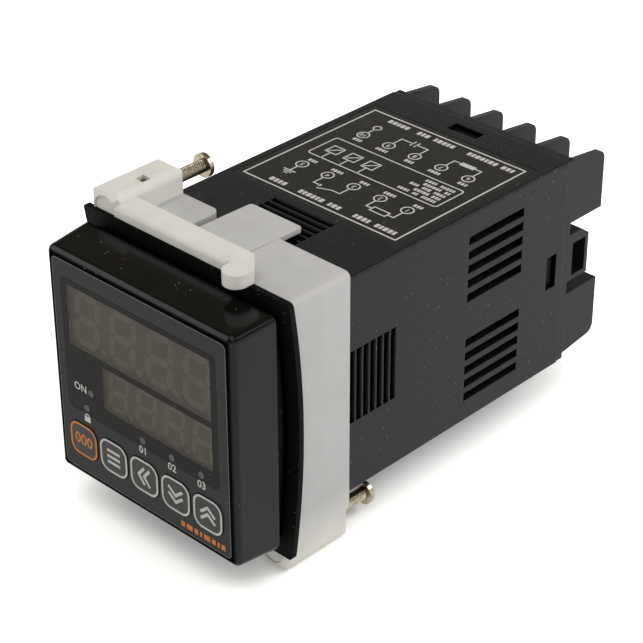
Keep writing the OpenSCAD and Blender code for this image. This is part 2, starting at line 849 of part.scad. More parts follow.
// Room for the bowed gasket in front of the bracket
module gasket_room() {
    half = gasket_h / 2 + arm_gap / 2;
    intersection() {
        rod_x(bow_y, 0, 2 * (bow_r + bearing_gap), -2 * ring_x, 2 * ring_x, $fn = 256);
        block([-2 * ring_x, -bow_r, -half], [2 * ring_x, bow_r, half]);
    }
}

// Room for a tongue in the ring's wall, with the plate's corner beside it rounded
module tongue_slot() {
    left = -tongue_w / 2 - slit_wide;
    translate([0, 0, ring_in - eps]) linear_extrude(top_wall + 2 * eps) {
        translate([left, tongue_root])
            square([tongue_w + slit_wide + slit_narrow, bracket_rear - tongue_root + eps]);
        translate([left - plate_r, bracket_rear - plate_r]) difference() {
            square(plate_r + eps);
            circle(plate_r);
        }
    }
}

module bracket() {
    color("#d6d5cf") {
        difference() {
            union() {
                along_y(0, bracket_rear) difference() {
                    rounded(2 * ring_x, 2 * ring_z, ring_r);
                    square(2 * ring_in, center = true);
                }
                half_turn() screw_boss();
            }
            gasket_room();
            half_turn() tongue_slot();
        }
        half_turn() {
            spring_arm();
            ratchet_tongue();
        }
    }
}

// Cross-recess screw that runs through a boss and presses on the panel
module clamp_screw() {
    color("#c9c4b4") difference() {
        union() {
            rod_y(boss_x, screw_z, screw_d, screw_head_y - screw_len, screw_head_y + eps);
            translate([boss_x, screw_head_y, screw_z]) rotate([-90, 0, 0]) rotate_extrude()
                intersection() {
                    square([head_d / 2, head_h]);
                    translate([0, head_h - head_d * 0.8]) circle(head_d * 0.8);
                }
        }
        cross_recess(boss_x, screw_z, screw_head_y + head_h, head_d * 0.56, head_h * 0.6);
    }
}

// Outline of one barrier, upper row, with a sloping outer edge that ends in a rounding
module barrier_outline() {
    s = barrier_slope;
    polygon([
        [flange_y - eps, floor_z - eps], [flange_y - eps, barrier_top],
        [fin_y + barrier_r * sin(s), fin_z + barrier_r * cos(s)],
        [barrier_y, fin_z], [barrier_y, floor_z - eps]
    ]);
    translate([fin_y, fin_z]) circle(barrier_r);
}

// Upper row: barriers with the floor of the wire bays
module terminal_row() {
    for (i = [0 : barrier_n - 1]) {
        x = -row_w / 2 + i * barrier_pitch;
        along_x(x - barrier_t / 2, x + barrier_t / 2) barrier_outline();
    }
    block([-row_w / 2 - barrier_t / 2, flange_y - eps, floor_z - floor_t],
        [row_w / 2 + barrier_t / 2, barrier_y, floor_z]);
}

// Loop at one side that a wire passes through to reach its terminal
module side_guide() {
    x1 = row_w / 2 + barrier_t / 2;
    y0 = flange_y - eps;
    y1 = case_len + guide_len;
    z = guide_h / 2;
    along_x(x1 - guide_w, x1) difference() {
        polygon([[y0, -z], [y0, z], [y1 - guide_cut, z], [y1, z - guide_cut * 0.75], [y1, -z]]);
        translate([flange_y + guide_root, guide_wall - z])
            square([y1 - guide_wall - flange_y - guide_root, 2 * z - guide_wall - guide_cut]);
    }
}

// Hook on the collar that catches in a latch window
module latch_hook() {
    y0 = latch_y + seat_gap;
    reach = case_half - hook_depth;
    along_x(-latch_w / 2 + seat_gap, latch_w / 2 - seat_gap) polygon([
        [y0 + latch_len * 0.4, collar_half - eps], [y0 + latch_len * 0.6, reach],
        [y0 + latch_len - 2 * seat_gap, reach], [y0 + latch_len - 2 * seat_gap, collar_half - eps]
    ]);
}

module terminal_block() {
    color("#333337") difference() {
        union() {
            along_y(case_len, flange_y) rounded(case_w - 2 * seat_gap, case_w - 2 * seat_gap, case_r);
            along_y(case_len - collar_len, case_len + eps) difference() {
                square(2 * collar_half, center = true);
                square(2 * (collar_half - collar_wall), center = true);
            }
            four_sides() latch_hook();
            half_turn() {
                terminal_row();
                side_guide();
            }
        }
        for (p = term_places) rod_y(p[0], p[1], term_d + 2 * screw_gap, case_len - eps, flange_y + eps);
    }
}

module terminal_plates() {
    color("#c8b27a") for (p = term_places) difference() {
        block([p[0] - plate_w / 2, flange_y, p[1] - plate_len / 2], [p[0] + plate_w / 2, term_y, p[1] + plate_len / 2]);
        rod_y(p[0], p[1], term_d + 2 * screw_gap, flange_y - eps, term_y + eps);
    }
}

module terminal_screws() {
    color("#c9c4b4") for (p = term_places) difference() {
        union() {
            rod_y(p[0], p[1], term_d, term_y - term_len, term_y + eps);
            rod_y(p[0], p[1], term_head_d, term_y, term_y + term_head_h);
        }
        cross_recess(p[0], p[1], term_y + term_head_h, term_head_d * 0.6, term_head_h * 0.6);
    }
}

bezel();
front_overlay();
display_lens();
key_cap(0);  // key_reset
key_cap(1);  // key_mode
key_cap(2);  // key_shift
key_cap(3);  // key_down
key_cap(4);  // key_up
plunger(0);  // plunger_reset
plunger(1);  // plunger_mode
plunger(2);  // plunger_shift
plunger(3);  // plunger_down
plunger(4);  // plunger_up
key_switches();
upper_display();
lower_display();
indicator_leds();
display_board();
main_board();
power_board();
board_connectors();
control_chips();
transformer();
relay();
capacitors();
case();
rating_label();
gasket();
bracket();
clamp_screw();  // clamp_screw_upper
rotate([0, 180, 0]) clamp_screw();  // clamp_screw_lower
terminal_block();
terminal_plates();
terminal_screws();
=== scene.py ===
"""Looks of the panel counter: finishes, print, screw threads and a plain studio around the solid model."""

import math

import bmesh
import bpy
from bpy.props import FloatProperty, PointerProperty, StringProperty
from mathutils import Matrix, Vector


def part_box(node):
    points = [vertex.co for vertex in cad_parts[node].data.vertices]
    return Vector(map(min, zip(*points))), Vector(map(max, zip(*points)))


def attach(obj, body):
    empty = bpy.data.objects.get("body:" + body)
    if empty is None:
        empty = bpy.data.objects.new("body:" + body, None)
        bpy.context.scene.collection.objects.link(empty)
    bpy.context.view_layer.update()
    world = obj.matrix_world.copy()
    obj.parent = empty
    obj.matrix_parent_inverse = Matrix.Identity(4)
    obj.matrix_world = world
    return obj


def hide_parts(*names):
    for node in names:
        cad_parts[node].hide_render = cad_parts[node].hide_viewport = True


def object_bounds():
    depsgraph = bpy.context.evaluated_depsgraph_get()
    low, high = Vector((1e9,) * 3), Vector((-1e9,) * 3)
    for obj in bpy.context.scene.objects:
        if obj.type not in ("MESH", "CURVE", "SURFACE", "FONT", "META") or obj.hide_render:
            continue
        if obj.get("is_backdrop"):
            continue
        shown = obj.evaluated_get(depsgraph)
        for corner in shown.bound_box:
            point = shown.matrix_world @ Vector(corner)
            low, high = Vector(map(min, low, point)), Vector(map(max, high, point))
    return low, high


bl_info = {
    "name": "Panel counter looks",
    "version": (1, 0, 0),
    "blender": (4, 5, 0),
    "location": "3D View > Sidebar > Counter",
    "description": "Finishes, print, screw threads and studio of a panel counter",
    "category": "Object",
}

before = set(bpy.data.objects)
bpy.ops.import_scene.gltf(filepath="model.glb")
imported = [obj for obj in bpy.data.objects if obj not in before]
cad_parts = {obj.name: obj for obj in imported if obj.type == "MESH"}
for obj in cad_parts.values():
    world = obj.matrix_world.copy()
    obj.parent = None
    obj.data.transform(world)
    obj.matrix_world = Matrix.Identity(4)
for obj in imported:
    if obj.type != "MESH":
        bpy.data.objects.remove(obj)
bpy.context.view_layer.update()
MM = 0.001
ROOT = "counter"
KEYS = ("reset", "mode", "shift", "down", "up")
FROM, TO = ("From Min", "From Max"), ("To Min", "To Max")


# Colour and nodes

def linear(code):
    """Linear RGBA of an sRGB hex colour."""
    parts = [int(code[i:i + 2], 16) / 255 for i in (1, 3, 5)]
    return tuple(c / 12.92 if c <= 0.04045 else ((c + 0.055) / 1.055) ** 2.4 for c in parts) + (1.0,)


def add(tree, kind, inputs=None, **settings):
    """Adds a node with its settings, socket values and links, and gives its outputs.

    A tuple of sockets takes a tuple of values, and a list of links goes to one socket."""
    node = tree.nodes.new(kind)
    for name, value in settings.items():
        setattr(node, name, value)
    for socket, value in (inputs or {}).items():
        pairs = zip(socket, value) if isinstance(socket, tuple) else [(socket, value)]
        for target, given in pairs:
            links = given if isinstance(given, list) else [given]
            if isinstance(links[0], bpy.types.NodeSocket):
                for link in links:
                    tree.links.new(link, node.inputs[target])
            else:
                node.inputs[target].default_value = given
    return node.outputs


def per_mm(size):
    """Texture scale of a pattern of that size in millimetres."""
    return 1.0 / (size * MM)


class Finish:
    """One material: a Principled surface whose patterns read Object coordinates."""

    # Spans of noise that the patterns use, narrow enough for contrast
    cloud_span = (0.35, 0.65)
    drift_span = (0.4, 0.65)
    tooth_span = (0.3, 0.7)
    drift_size = 9.0
    # Free share of the view at which the painted shade of a hollow is black, and at which it ends
    groove_shade_span = (0.74, 0.96)

    def __init__(self, name, **sockets):
        self.material = bpy.data.materials.new(name)
        self.material.use_nodes = True
        self.tree = self.material.node_tree
        self.shader = self.tree.nodes["Principled BSDF"].inputs
        self.place = add(self.tree, "ShaderNodeTexCoord")["Object"]
        for socket, value in sockets.items():
            self.shader[socket.replace("_", " ")].default_value = value

    def patches(self, size, first, second):
        """Colour that drifts between two hex colours in patches of that size in millimetres."""
        cloud = add(self.tree, "ShaderNodeTexNoise", {
            "Vector": self.place, "Scale": per_mm(size), "Detail": 3.0})["Fac"]
        share = add(self.tree, "ShaderNodeMapRange", {"Value": cloud, FROM: self.cloud_span})["Result"]
        return add(self.tree, "ShaderNodeMix", {
            0: share, 6: linear(first), 7: linear(second)}, data_type="RGBA")[2]

    def dusted(self, under, code, share, spacing=1.0, radius=0.1):
        """A colour under drifts of round specks.

        The share is of places with a speck; spacing and radius are in mm."""
        drift = add(self.tree, "ShaderNodeTexNoise", {
            "Vector": self.place, "Scale": per_mm(self.drift_size)})["Fac"]
        limit = add(self.tree, "ShaderNodeMapRange", {
            "Value": drift, FROM: self.drift_span, "To Max": share})["Result"]
        cells = add(self.tree, "ShaderNodeTexVoronoi", {"Vector": self.place, "Scale": per_mm(spacing)})
        lot = add(self.tree, "ShaderNodeSeparateColor", {"Color": cells["Color"]})[0]
        chosen = add(self.tree, "ShaderNodeMath", {0: lot, 1: limit}, operation="LESS_THAN")[0]
        rim = radius / spacing
        dot = add(self.tree, "ShaderNodeMapRange", {
            "Value": cells["Distance"], FROM: (rim, 0.5 * rim)})["Result"]
        speck = add(self.tree, "ShaderNodeMath", {0: chosen, 1: dot}, operation="MULTIPLY")[0]
        return add(self.tree, "ShaderNodeMix", {0: speck, 6: under, 7: linear(code)}, data_type="RGBA")[2]

    def grain(self, size, smooth, rough, depth, edge=0.0):
        """One grain for the roughness and the relief; its size, depth and the edges' radius are in mm."""
        tooth = add(self.tree, "ShaderNodeTexNoise", {
            "Vector": self.place, "Scale": per_mm(size), "Detail": 2.0})["Fac"]
        matt = add(self.tree, "ShaderNodeMapRange", {
            "Value": tooth, FROM: self.tooth_span, TO: (smooth, rough)})["Result"]
        relief = {"Height": tooth, "Distance": depth * MM, "Strength": 1.0}
        if edge:
            relief["Normal"] = add(self.tree, "ShaderNodeBevel", {"Radius": edge * MM}, samples=6)["Normal"]
        self.tree.links.new(matt, self.shader["Roughness"])
        self.tree.links.new(add(self.tree, "ShaderNodeBump", relief)["Normal"], self.shader["Normal"])

    def groove_shade(self, under, reach, gloss):
        """Painted shade: colour and gloss fall to black in grooves with walls within a reach in mm."""
        free = add(self.tree, "ShaderNodeAmbientOcclusion", {"Distance": reach * MM}, samples=8)["AO"]
        share = add(self.tree, "ShaderNodeMapRange", {"Value": free, FROM: self.groove_shade_span})["Result"]
        level = add(self.tree, "ShaderNodeMath", {0: share, 1: gloss}, operation="MULTIPLY")[0]
        self.tree.links.new(level, self.shader["Specular IOR Level"])
        return add(self.tree, "ShaderNodeMix", {
            0: share, 6: linear("#010101"), 7: under}, data_type="RGBA")[2]

    def painted(self, colour):
        """Links the base colour and gives the finished material."""
        self.tree.links.new(colour, self.shader["Base Color"])
        return self.material


# Materials

DUST = "#B2B2AC"
# Tint of the reflections in the moulded case and block
COOL = "#E4E8F4"


def plain(name, grain, patches, dust=0.0, **sockets):
    """A material of one grain and two drifting colours, with a share of dust where one is given."""
    finish = Finish(name, **sockets)
    finish.grain(*grain)
    colour = finish.patches(*patches)
    return finish.painted(finish.dusted(colour, DUST, dust) if dust else colour)


def bezel_abs():
    """Polished black ABS: deep gloss over a barely wavy surface, with dust that shows on it.

    The rim's inner lip lies in the shade of the front plate and falls to black."""
    finish = Finish("polished_black_abs", Specular_Tint=linear("#E8ECF6"))
    finish.grain(2.5, 0.13, 0.18, 0.006, 0.2)
    front, lip, rim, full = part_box("bezel")[0].y, 0.05 * MM, 0.3 * MM, 0.27
    # Painted shade: the gloss fades to nothing on the rim's inner lip, by depth
    depth = add(finish.tree, "ShaderNodeSeparateXYZ", {"Vector": finish.place})["Y"]
    gloss = add(finish.tree, "ShaderNodeMapRange", {
        "Value": depth, FROM: (front + lip, front + rim), "To Max": full})["Result"]
    finish.tree.links.new(gloss, finish.shader["Specular IOR Level"])
    return finish.painted(finish.dusted(finish.patches(9.0, "#080807", "#0C0C0B"), DUST, 0.4))


def case_abs():
    """Spark-textured black flame-retardant ABS: fine grain, satin reflections and pale dust.

    The grain is drawn coarser than the real 0.05 mm so that it shows."""
    finish = Finish("spark_textured_black_abs", Specular_Tint=linear(COOL))
    finish.grain(0.3, 0.36, 0.5, 0.02, 0.25)
    base = finish.dusted(finish.patches(0.5, "#0A0A0B", "#121213"), DUST, 0.7, 1.1, 0.09)
    # Painted shade: colour and gloss fall to black in the case's grooves and slots
    return finish.painted(finish.groove_shade(base, 1.4, 0.29))


def block_pbt():
    """Moulded dark grey PBT of the terminal block: a little lighter and bluer than the case."""
    return plain("moulded_dark_pbt", (0.35, 0.36, 0.48, 0.015, 0.15), (6.0, "#101013", "#16161A"),
                 0.25, Specular_IOR_Level=0.28, Specular_Tint=linear(COOL))


def inner_nylon():
    """Plain moulded black nylon of switches, plungers, relay and connectors."""
    return plain("moulded_black_nylon", (0.3, 0.45, 0.57, 0.008, 0.1), (4.0, "#0A0A0A", "#101010"))


def overlay_film():
    """Fine-matt printed polyester: an even grey haze that sparkles a little on its tooth.

    The tooth is drawn larger than life so that it shows."""
    return plain("matt_printed_polyester", (0.32, 0.42, 0.66, 0.03), (0.35, "#0E0E0F", "#1C1C1E"),
                 0.12, Specular_IOR_Level=0.26)


def mask_ink():
    """Black mask printed round the windows: the film's tooth, a shade darker."""
    return plain("matt_black_mask_ink", (0.32, 0.42, 0.62, 0.03), (0.35, "#0A0A0B", "#141415"),
                 0.1, Specular_IOR_Level=0.14)


def key_film():
    """The film embossed over a key: darker and glossier than round it."""
    return plain("embossed_key_polyester", (0.3, 0.28, 0.4, 0.01, 0.15), (2.0, "#070708", "#0D0D0E"),
                 Specular_IOR_Level=0.35)


def smoked_lens():
    """Smoked matt window: a brown-grey haze that lets the unlit digits show faintly."""
    return plain("smoked_polyester_window", (0.4, 0.42, 0.56, 0.012), (0.5, "#4A443D", "#5B544B"),
                 Alpha=0.5)


def display_epoxy():
    """Cast grey-brown epoxy face of a seven-segment module, slightly mottled."""
    return plain("cast_display_epoxy", (0.6, 0.5, 0.6, 0.01), (1.6, "#7A7269", "#8B8378"))


def segment_epoxy():
    """Milky diffusing epoxy of an unlit segment, a little paler than the module's face."""
    return plain("milky_segment_epoxy", (0.6, 0.45, 0.55, 0.01), (0.9, "#B9AA9A", "#C9BBAA"))


def led_epoxy():
    """Clear-cast epoxy of a small unlit indicator, greyish with a darker die."""
    return plain("cast_indicator_epoxy", (0.4, 0.3, 0.4, 0.005), (0.6, "#B2B0AA", "#CCCAC3"))


def natural_nylon():
    """Natural moulded nylon: milky and satin, and greyer where a thin wall lies over the black case.

    Arms and bosses are thick and stand clear of it, so they look lighter and more ivory at once above
    the ring's top. Lower down, ivory comes in by degrees: painted light from the paper on the lower end."""
    above, painted_bounce_span = (25.35 * MM, 25.7 * MM), (-19.0 * MM, -28.0 * MM)
    finish = Finish("moulded_natural_nylon", Subsurface_Weight=0.2, Subsurface_Scale=0.9 * MM,
                    Subsurface_Radius=(1.0, 0.85, 0.7))
    finish.grain(0.6, 0.52, 0.64, 0.01, 0.3)
    height = add(finish.tree, "ShaderNodeSeparateXYZ", {"Vector": finish.place})["Z"]
    # Painted light: lower down, the ring's grey side turns ivory by degrees, as if lit by the paper
    upper, lower = [add(finish.tree, "ShaderNodeMapRange", {"Value": height, FROM: span})["Result"]
                    for span in (above, painted_bounce_span)]
    thick = add(finish.tree, "ShaderNodeMath", {0: upper, 1: lower}, operation="MAXIMUM")[0]
    grey, ivory = finish.patches(7.0, "#BEBEBF", "#C4C4C5"), finish.patches(5.0, "#DBDAD5", "#E1E0DB")
    base = add(finish.tree, "ShaderNodeMix", {0: thick, 6: grey, 7: ivory}, data_type="RGBA")[2]
    return finish.painted(finish.dusted(base, "#8F8872", 0.12, spacing=3.0, radius=0.14))


def gasket_rubber():
    """Die-cut black EPDM: dead black and dull, with a fine calendered grain that holds dust."""
    return plain("die_cut_black_epdm", (0.35, 0.62, 0.78, 0.03, 0.12), (0.8, "#040404", "#080807"),
                 0.6, Specular_IOR_Level=0.1)


def label_film():
    """Black printed polyester label: satin, a shade smoother than the case."""
    return plain("satin_black_label_film", (1.0, 0.34, 0.44, 0.01), (0.6, "#080807", "#0E0E0D"),
                 0.6, Specular_IOR_Level=0.4)


def printed_ink(name, code, mottle_and_highlight):
    """Screen-printed ink and painted edge highlight: flat colour, faintly mottled by the printing mesh."""
    return plain(name, (0.4, 0.5, 0.6, 0.004), (0.4, code, mottle_and_highlight))


def nickel_steel():
    """Nickel-plated steel of the screws: warm bright metal, slightly clouded."""
    return plain("nickel_plated_steel", (0.3, 0.2, 0.34, 0.004, 0.06), (0.7, "#9E9680", "#BDB6A3"),
                 Metallic=1.0)


def plated_nut_steel():
    """Yellow-passivated steel of the nut in a boss: olive, dull."""
    return plain("yellow_passivated_steel", (0.3, 0.34, 0.5, 0.006, 0.08), (0.6, "#8F8658", "#A59C6E"),
                 Metallic=1.0)


def tinned_brass():
    """Tin-plated brass of the terminal plates: pale, slightly yellow, with a soft sheen."""
    return plain("tin_plated_brass", (0.4, 0.26, 0.42, 0.004, 0.06), (1.0, "#C2B68F", "#D2C9A9"),
                 Metallic=1.0)


def solder_resist():
    """Dark green solder resist over glass epoxy, with copper areas that show as lighter patches."""
    return plain("green_solder_resist", (2.2, 0.26, 0.36, 0.02), (2.2, "#0A2A14", "#154A22"))


def winding_tape():
    """Yellow polyester tape round the transformer's winding, a little uneven."""
    return plain("yellow_winding_tape", (2.5, 0.26, 0.36, 0.02), (2.5, "#A87F1A", "#C39528"))


def capacitor_sleeve():
    """Dark blue shrunk PVC sleeve of the capacitors."""
    return plain("shrunk_blue_pvc", (1.8, 0.24, 0.34, 0.01), (1.8, "#101B38", "#18264A"))


def paper_floor(glow, mirrored):
    """Matt white studio paper, which shows white to the eye and in reflections and keeps the shadow.

    Close under the counter its glow to the eye fades with the occlusion, a painted contact shadow,
    and it glows more beyond the lamps."""
    shade, fade = 24.0 * MM, (0.25, 0.9)
    white = linear("#FFFFFF")
    finish = Finish("matt_white_paper", Roughness=0.95, Specular_IOR_Level=0.0, Emission_Color=white)
    rays = add(finish.tree, "ShaderNodeLightPath")
    bounced = add(finish.tree, "ShaderNodeMath", {
        0: rays["Is Glossy Ray"], 1: rays["Is Transmission Ray"]}, operation="ADD")[0]
    away = add(finish.tree, "ShaderNodeVectorMath", {0: finish.place}, operation="LENGTH")["Value"]
    # Painted contact shadow: occlusion within this reach dims the glow that the eye sees
    clear = add(finish.tree, "ShaderNodeAmbientOcclusion", {"Distance": shade}, samples=16)["AO"]
    direct = add(finish.tree, "ShaderNodeMath", {
        0: rays["Is Camera Ray"], 1: clear}, operation="MULTIPLY")[0]
    strength = 0.0
    for seen, least in ((direct, glow), (bounced, mirrored)):
        level = add(finish.tree, "ShaderNodeMapRange", {
            "Value": away, FROM: fade, "To Min": least})["Result"]
        strength = add(finish.tree, "ShaderNodeMath", {
            0: seen, 1: level, 2: strength}, operation="MULTIPLY_ADD")[0]
    finish.tree.links.new(strength, finish.shader["Emission Strength"])
    return finish.painted(finish.patches(1.2, "#F2F2F1", "#F5F5F4"))


# Flat print, drawn in millimetres on a plane

FRONT = Matrix(((1, 0, 0), (0, 0, -1), (0, 1, 0)))
TOP = Matrix(((-1, 0, 0), (0, -1, 0), (0, 0, 1)))
# Thickness of the ink, its distance from what it lies on, and the radius of a sharp corner, in mm
INK = 0.02
LIFT = 0.004
SHARP = 0.001


class Print:
    """A thin printed layer: shapes in millimetres on a plane, over earlier layers, made one mesh."""

    disc_steps, ring_steps = 24, 32
    mitre_limit = 0.3
    weld = 1e-7

    def __init__(self, turn, centre, layers=0):
        self.mesh = bmesh.new()
        self.turn = turn
        self.centre = Vector(centre)
        self.under = layers * (LIFT + INK)

    def point(self, u, v, w):
        """Place of a drawn point, in metres."""
        return self.centre + self.turn @ Vector((u, v, w + self.under)) * MM

    def outline(self, loop, w):
        """Vertices of an outline at a height."""
        return [self.mesh.verts.new(self.point(u, v, w)) for u, v in loop]

    def walls(self, first, second):
        """Faces between two outlines with as many vertices."""
        for i in range(len(first)):
            j = (i + 1) % len(first)
            self.mesh.faces.new((first[i], first[j], second[j], second[i]))

    def area(self, loop):
        """A filled outline."""
        low, high = self.outline(loop, LIFT), self.outline(loop, LIFT + INK)
        self.mesh.faces.new(high)
        self.mesh.faces.new(low[::-1])
        self.walls(low, high)

    def band(self, outer, inner):
        """The closed band between two outlines with as many points."""
        low, high = LIFT, LIFT + INK
        rings = [self.outline(*ring) for ring in ((outer, low), (outer, high), (inner, high), (inner, low))]
        for first, second in zip(rings, rings[1:] + rings[:1]):
            self.walls(first, second)

    def bar(self, u0, v0, u1, v1):
        """A filled rectangle."""
        self.area(((u0, v0), (u1, v0), (u1, v1), (u0, v1)))

    def line(self, points, width):
        """An open line of straight stretches with mitred corners."""
        points = [Vector(p) for p in points]
        left, right = [], []
        for i, here in enumerate(points):
            before = (here - points[i - 1]).normalized() if i else None
            after = (points[i + 1] - here).normalized() if i + 1 < len(points) else None
            along = (before + after).normalized() if before and after else (before or after)
            side = Vector((-along.y, along.x))
            square = Vector((-after.y, after.x)) if after else side
            reach = 0.5 * width / max(self.mitre_limit, side.dot(square))
            left.append(here + side * reach)
            right.append(here - side * reach)
        self.area(right + left[::-1])

    def disc(self, u, v, radius):
        """A filled disc."""
        self.area(arc(u, v, radius, 0, 360, self.disc_steps)[:-1])

    def ring(self, u, v, radius, width):
        """A circle line."""
        rims = (radius + width / 2, radius - width / 2)
        self.band(*[arc(u, v, rim, 0, 360, self.ring_steps)[:-1] for rim in rims])

    def frame(self, u0, v0, u1, v1, width, radius=0.0):
        """A rectangle line, with rounded corners if a radius is given."""
        self.band(rounded(u0, v0, u1, v1, radius),
                  rounded(u0 + width, v0 + width, u1 - width, v1 - width, max(radius - width, 0.0)))

    def sheet(self, outline, holes):
        """A filled outline with holes in it."""
        curve = bpy.data.curves.new("sheet", "CURVE")
        curve.dimensions = "2D"
        curve.fill_mode = "BOTH"
        for loop in [outline] + holes:
            spline = curve.splines.new("POLY")
            spline.points.add(len(loop) - 1)
            for point, (u, v) in zip(spline.points, loop):
                point.co = (u, v, 0.0, 1.0)
            spline.use_cyclic_u = True
        self.take(curve, 0.0, 0.0)

    def text(self, words, u, v, size, weight=0.0):
        """Plain lettering centred at a point, made bolder by a weight in mm."""
        curve = bpy.data.curves.new("lettering", "FONT")
        curve.body = words
        curve.size = size
        curve.offset = weight
        curve.align_x = "CENTER"
        curve.align_y = "CENTER"
        curve.resolution_u = 3
        self.take(curve, u, v)

    def take(self, curve, u, v):
        """Adds a flat curve as a filled shape, moved to a point."""
        curve.extrude = INK / 2
        shape = plain_mesh(bpy.data.objects.new("flat_curve", curve))
        for vertex in shape.vertices:
            vertex.co = self.point(vertex.co.x + u, vertex.co.y + v, vertex.co.z + LIFT + INK / 2)
        self.mesh.from_mesh(shape)
        bpy.data.curves.remove(curve)
        bpy.data.meshes.remove(shape)

    def piece(self, name, material, body, slot):
        """Makes the layer an object that rides on a body."""
        bmesh.ops.remove_doubles(self.mesh, verts=self.mesh.verts, dist=self.weld)
        bmesh.ops.recalc_face_normals(self.mesh, faces=self.mesh.faces)
        mesh_piece(name, self.mesh, material, body)


def arc(u, v, radius, start, end, steps):
    """Points on an arc, in degrees."""
    angles = [math.radians(start + (end - start) * i / steps) for i in range(steps + 1)]
    return [(u + radius * math.cos(a), v + radius * math.sin(a)) for a in angles]


def rounded(u0, v0, u1, v1, radius, steps=8):
    """Outline of a rectangle with rounded corners."""
    r = max(radius, SHARP)
    corners = ((u1 - r, v0 + r, 270), (u1 - r, v1 - r, 0), (u0 + r, v1 - r, 90), (u0 + r, v0 + r, 180))
    return [p for u, v, start in corners for p in arc(u, v, r, start, start + 90, steps)]


def plain_mesh(holder):
    """Plain mesh of what an object shows; the object is not kept."""
    bpy.context.scene.collection.objects.link(holder)
    data = bpy.data.meshes.new_from_object(holder.evaluated_get(bpy.context.evaluated_depsgraph_get()))
    bpy.data.objects.remove(holder)
    return data


def mesh_piece(name, mesh, material, body):
    """Turns a bmesh into a piece with a material and a body."""
    data = bpy.data.meshes.new(name)
    mesh.to_mesh(data)
    mesh.free()
    data_piece(name, data, material, body)


def data_piece(name, data, material, body):
    """Makes mesh data a piece at the origin that rides on a body."""
    piece = bpy.data.objects.new(name, data)
    bpy.context.scene.collection.objects.link(piece)
    data.materials.clear()
    data.materials.append(material)
    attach(piece, body)
    return piece


def face_centre(node, side):
    """Centre of a node's box on its front ("front") or its top ("top"), in metres."""
    low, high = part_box(node)
    middle = (low + high) / 2
    if side == "front":
        return Vector((middle.x, low.y, middle.z))
    return Vector((middle.x, middle.y, high.z))


def front_box(node):
    """Left, lower, right and upper edge of a node seen from the front, in millimetres."""
    low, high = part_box(node)
    return low.x / MM, low.z / MM, high.x / MM, high.z / MM


# Sizes and colours that a user would change

def number(name, description, default, **options):
    """A number in the sidebar."""
    return FloatProperty(name=name, description=description, default=default, **options)


def hex_colour(name, description, default):
    """A colour in the sidebar, as sRGB hex."""
    return StringProperty(name=name, description=description + ", as sRGB hex", default=default)


class COUNTER_PG_print(bpy.types.PropertyGroup):
    """Sizes and colours of the print; sizes are in millimetres."""
    ring_width: number("Key ring", "Width of the printed ring on a key, in mm", 0.44)
    ring_inset: number("Ring inset", "Distance of the ring from the key's edge, in mm", 0.05)
    ring_radius: number("Ring corner", "Corner radius of the ring, in mm", 2.15)
    symbol_width: number("Symbol stroke", "Stroke of the key symbols, in mm", 0.58)
    label_line: number("Label line", "Stroke of the label's lines, in mm", 0.3)
    key_ink: hex_colour("Key ink", "Colour of the keys' pale print", "#C2C2C0")
    pale_ink: hex_colour("Pale ink", "Colour of the legends and the label's print", "#CFCFCB")
    orange_ink: hex_colour("Orange ink", "Colour of the reset key's print", "#C8761F")


class COUNTER_PG_screw(bpy.types.PropertyGroup):
    """Sizes of a clamp screw."""
    pitch: number("Pitch", "Pitch of the thread", 0.5 * MM, unit="LENGTH", precision=5)
    depth: number("Thread depth", "Depth of the thread", 0.24 * MM, unit="LENGTH", precision=5)
    head_height: number("Head", "Height of the pan head", 1.8 * MM, unit="LENGTH", precision=5)


class COUNTER_PG_stage(bpy.types.PropertyGroup):
    """View and light of the studio."""
    azimuth: number("Azimuth", "Turn of the view about the upright axis",
                    math.radians(43.936), subtype="ANGLE")
    elevation: number("Elevation", "Height of the view above level", math.radians(31.441), subtype="ANGLE")
    roll: number("Roll", "Roll of the camera", math.radians(-0.17), subtype="ANGLE")
    distance: number("Distance", "Distance from the aim point", 0.39642, unit="LENGTH")
    lens: number("Lens", "Focal length in mm", 118.23)
    left_power: number("Left strip", "Power of the strip light at the front left", 1.0, unit="POWER")
    right_power: number("Right softbox", "Power of the softbox on the right", 0.5, unit="POWER")
    top_power: number("Top softbox", "Power of the softbox above", 3.6, unit="POWER")
    back_power: number("Back softbox", "Power of the small softbox behind on the right", 1.8, unit="POWER")
    room: hex_colour("Room", "Colour of the room above the pale horizon", "#766E60")
    paper_glow: number("Paper glow", "How much whiter than lit the paper shows", 0.9)
    mirror_glow: number("Mirrored paper glow", "Light of the paper in reflections", 0.5)


# Pieces

class Finishing:
    """Gives CAD nodes their finishes: each material, and the nodes that have it."""

    def execute(self, context):
        for make, nodes in self.finishes.items():
            material = make()
            for node in nodes:
                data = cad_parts[node].data
                data.materials.clear()
                data.materials.append(material)
        return {"FINISHED"}


class COUNTER_OT_finish_front(Finishing, bpy.types.Operator):
    """Gives the front's nodes their finishes"""
    bl_idname = "counter.finish_front"
    bl_label = "Finish front"

    finishes = {
        bezel_abs: ["bezel"], overlay_film: ["front_overlay"], smoked_lens: ["display_lens"],
        key_film: ["key_" + key for key in KEYS],
        inner_nylon: ["plunger_" + key for key in KEYS],
        display_epoxy: ["upper_display", "lower_display"],
        led_epoxy: ["indicator_leds"],
    }


class COUNTER_OT_finish_case(Finishing, bpy.types.Operator):
    """Gives the case, label, gasket, bracket and terminal block their finishes"""
    bl_idname = "counter.finish_case"
    bl_label = "Finish case"

    finishes = {
        case_abs: ["case"], label_film: ["rating_label"], gasket_rubber: ["gasket"],
        natural_nylon: ["bracket"], block_pbt: ["terminal_block"],
        tinned_brass: ["terminal_plates"], nickel_steel: ["terminal_screws"],
    }


